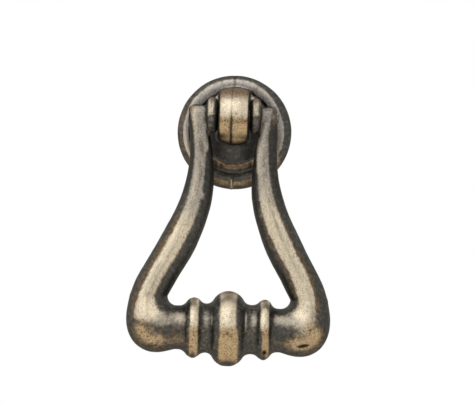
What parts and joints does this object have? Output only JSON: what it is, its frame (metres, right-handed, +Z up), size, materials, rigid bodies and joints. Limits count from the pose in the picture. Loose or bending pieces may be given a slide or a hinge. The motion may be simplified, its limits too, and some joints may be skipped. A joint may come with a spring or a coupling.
{
  "type": "drop handle",
  "caption": "Drop handle with a round ringed rosette and a swinging cast bail: two swept arms with bulbous corners and a beaded bar, on a pin through the rosette's knuckle.",
  "frame": {"origin": "mouth of the tapped fixing hole, in the middle of the rosette's back, where it meets the drawer front", "axes": "+Z up, -Y out of the drawer front towards the user, +X to the user's right"},
  "size_m": [0.045, 0.0188, 0.0644],
  "materials": {
    "antique_brass": "antique brass, dark patina in the recesses, rubbed bright on the ring and the knuckle",
    "antique_brass_bail": "antique brass, dark patina on the flanks and in the necks, rubbed bright on the crowns",
    "pin_steel": "drawn steel wire, darkened"
  },
  "bodies": {
    "rosette": {"rosette": "antique_brass"},
    "bail": {"bail": "antique_brass_bail", "pivot_pin": "pin_steel"}
  },
  "joints": [
    {"name": "bail_swing", "type": "hinge", "parent": "rosette", "child": "bail", "pos_m": [0, -0.0105, 0.0036], "axis": [-1, 0, 0], "range_deg": [-2.5, 182.5]}
  ]
}
